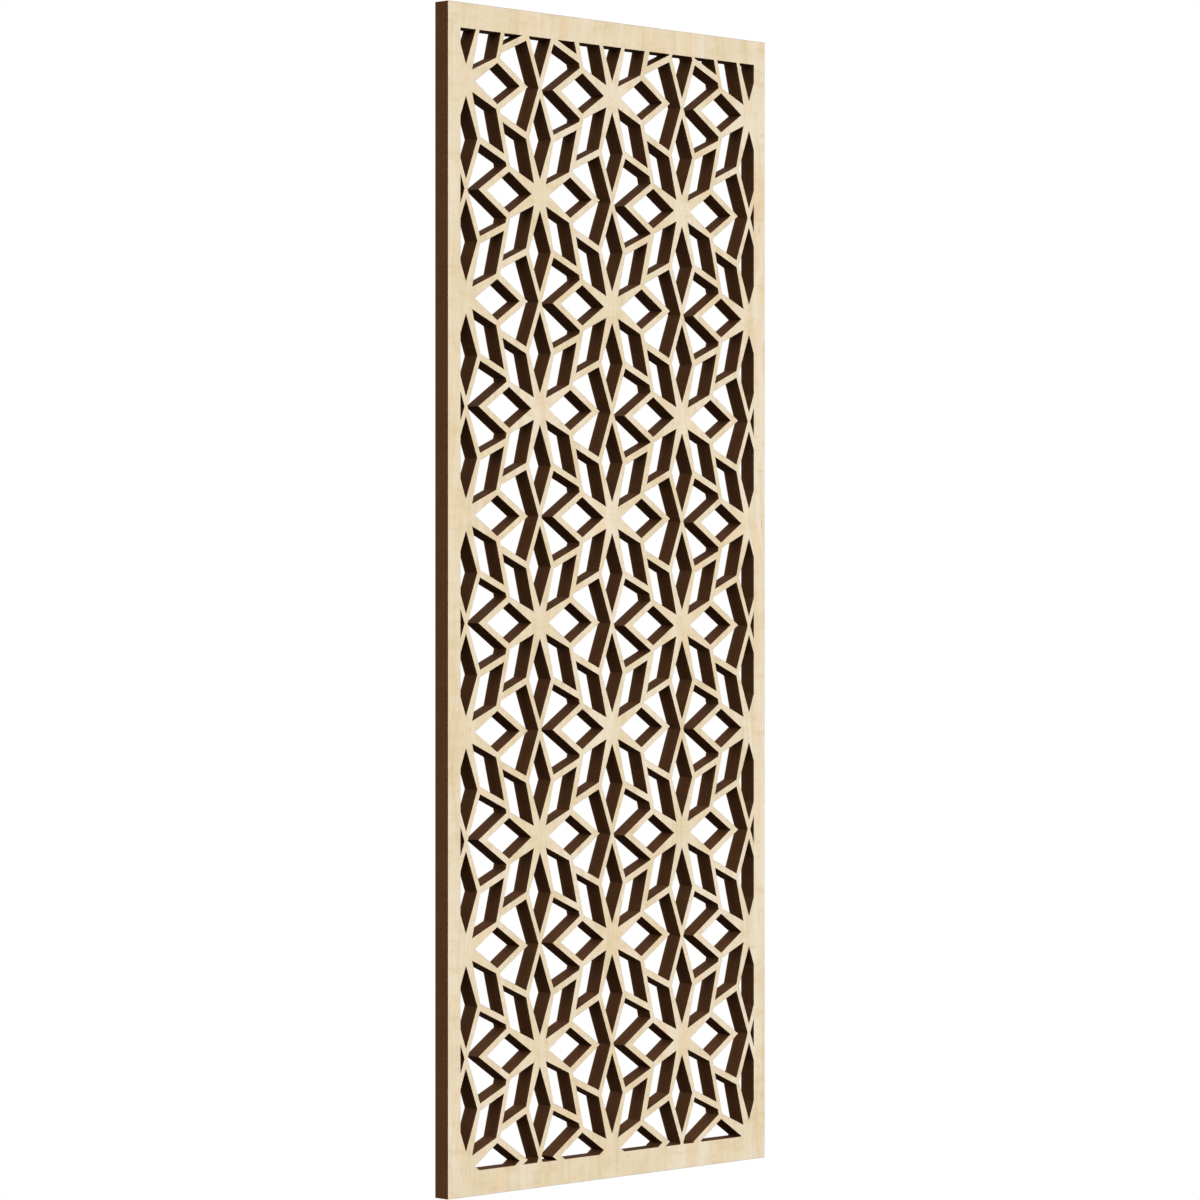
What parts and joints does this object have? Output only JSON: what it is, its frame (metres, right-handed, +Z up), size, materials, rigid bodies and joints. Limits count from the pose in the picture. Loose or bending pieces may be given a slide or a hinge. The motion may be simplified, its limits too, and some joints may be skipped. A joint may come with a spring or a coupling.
{
  "type": "fretwork wall panel",
  "caption": "Tall flat wooden panel with a pale face and dark edges, cut right through with a net of petalled stars inside a narrow plain border.",
  "frame": {"origin": "on the panel's flat back, in the middle of its top rail, where it is fixed to a wall", "axes": "+Z up along the panel's height, +X to the right as seen from the front, the face looks along -Y and the back lies in the plane y = 0"},
  "size_m": [0.464, 0.018, 1.18],
  "materials": {
    "birch_plywood": "satin clear coat on the faces, dark scorched cut edges"
  },
  "bodies": {
    "root": {"fretwork_panel": "birch_plywood"}
  },
  "joints": []
}
